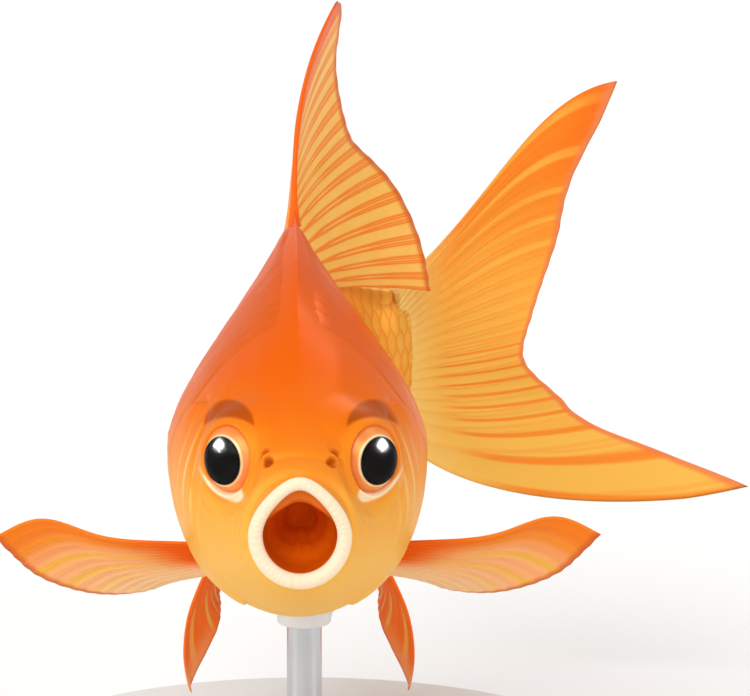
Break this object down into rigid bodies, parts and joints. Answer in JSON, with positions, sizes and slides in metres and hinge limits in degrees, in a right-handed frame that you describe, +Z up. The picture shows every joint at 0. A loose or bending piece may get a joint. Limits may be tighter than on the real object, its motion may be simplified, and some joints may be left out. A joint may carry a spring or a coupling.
{
  "type": "goldfish",
  "caption": "Life-size goldfish with its mouth open, fins spread and tail swung to its left, held by one short rod on a round display base.",
  "frame": {"origin": "centre of the underside of the stand's base, on the surface it stands on", "axes": "+Z up; the fish faces -Y, so -Y is ahead and +Y is towards the tail; +X is the fish's own left, to which the tail swings"},
  "size_m": [0.1008, 0.125, 0.1017],
  "materials": {
    "flesh": "gloss",
    "gill_cover": "gloss",
    "fin": "satin",
    "lips": "satin",
    "eye": "gloss",
    "stand_white": "matte",
    "steel": "satin"
  },
  "bodies": {
    "root": {"head": "flesh", "trunk": "flesh", "tail_stalk": "flesh", "gill_cover_left": "gill_cover", "gill_cover_right": "gill_cover", "upper_lip": "lips", "lower_lip": "lips", "eye_left": "eye", "eye_right": "eye", "dorsal_fin": "fin", "caudal_fin_upper": "fin", "caudal_fin_lower": "fin", "anal_fin": "fin", "pectoral_fin_left": "fin", "pectoral_fin_right": "fin", "pelvic_fin_left": "fin", "pelvic_fin_right": "fin", "stand_base": "stand_white", "stand_cradle": "stand_white", "stand_collar": "steel", "stand_rod": "steel"}
  },
  "joints": []
}
